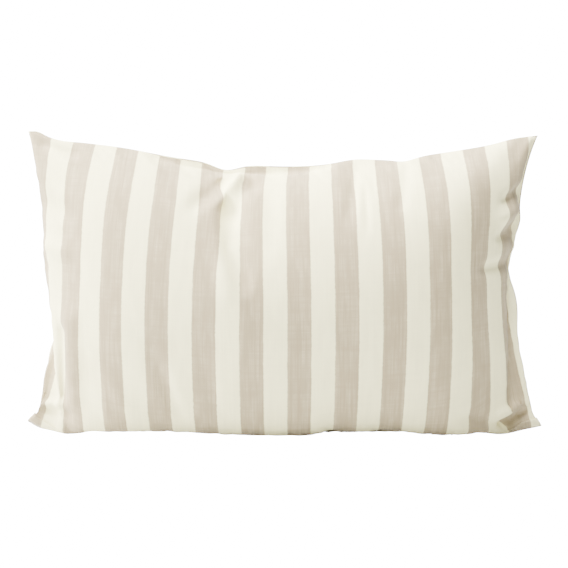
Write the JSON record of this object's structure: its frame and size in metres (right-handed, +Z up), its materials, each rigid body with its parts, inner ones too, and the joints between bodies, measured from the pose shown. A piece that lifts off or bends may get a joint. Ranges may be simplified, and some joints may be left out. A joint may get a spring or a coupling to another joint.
{
  "type": "throw pillow",
  "caption": "Oblong lumbar throw pillow in off-white linen with upright taupe stripes, knife-edge seams, pointed corners and a concealed zip along the edge it stands on.",
  "frame": {"origin": "on the surface the pillow stands on, under the middle of its bounding box", "axes": "+X along the zip edge, to the right seen from the front; +Y from the front panel to the back panel; +Z up"},
  "size_m": [0.484, 0.129, 0.286],
  "materials": {
    "striped_linen": "off-white woven linen with taupe stripes, matt",
    "cover_thread": "matt spun thread",
    "label_ribbon": "blank satin ribbon",
    "ticking": "plain white woven ticking",
    "polyester_fibre": "loose white fibre",
    "zip_tape": "fine woven tape",
    "zip_coil": "satin nylon",
    "zip_metal": "satin enamel"
  },
  "bodies": {
    "cushion": {"cover_front_panel": "striped_linen", "cover_back_panel": "striped_linen", "cover_seam_thread": "cover_thread", "care_label": "label_ribbon", "insert_front_panel": "ticking", "insert_back_panel": "ticking", "insert_seam_thread": "cover_thread", "fibre_fill": "polyester_fibre", "zip_tape_front": "zip_tape", "zip_tape_back": "zip_tape", "zip_coil_front": "zip_coil", "zip_coil_back": "zip_coil", "zip_stitching_front": "cover_thread", "zip_stitching_back": "cover_thread", "zip_top_stop_front": "zip_metal", "zip_top_stop_back": "zip_metal", "zip_bottom_stop": "zip_metal"},
    "slider": {"zip_slider": "zip_metal"},
    "pull_tab": {"zip_pull_tab": "zip_metal"}
  },
  "joints": [
    {"name": "zip_slide", "type": "slide", "parent": "cushion", "child": "slider", "axis": [1, 0, 0], "range_m": [-0.315, 0]},
    {"name": "tab_hinge", "type": "hinge", "parent": "slider", "child": "pull_tab", "pos_m": [0.1575, 0, 0.0026], "axis": [0, -1, 0], "range_deg": [0, 180]}
  ]
}
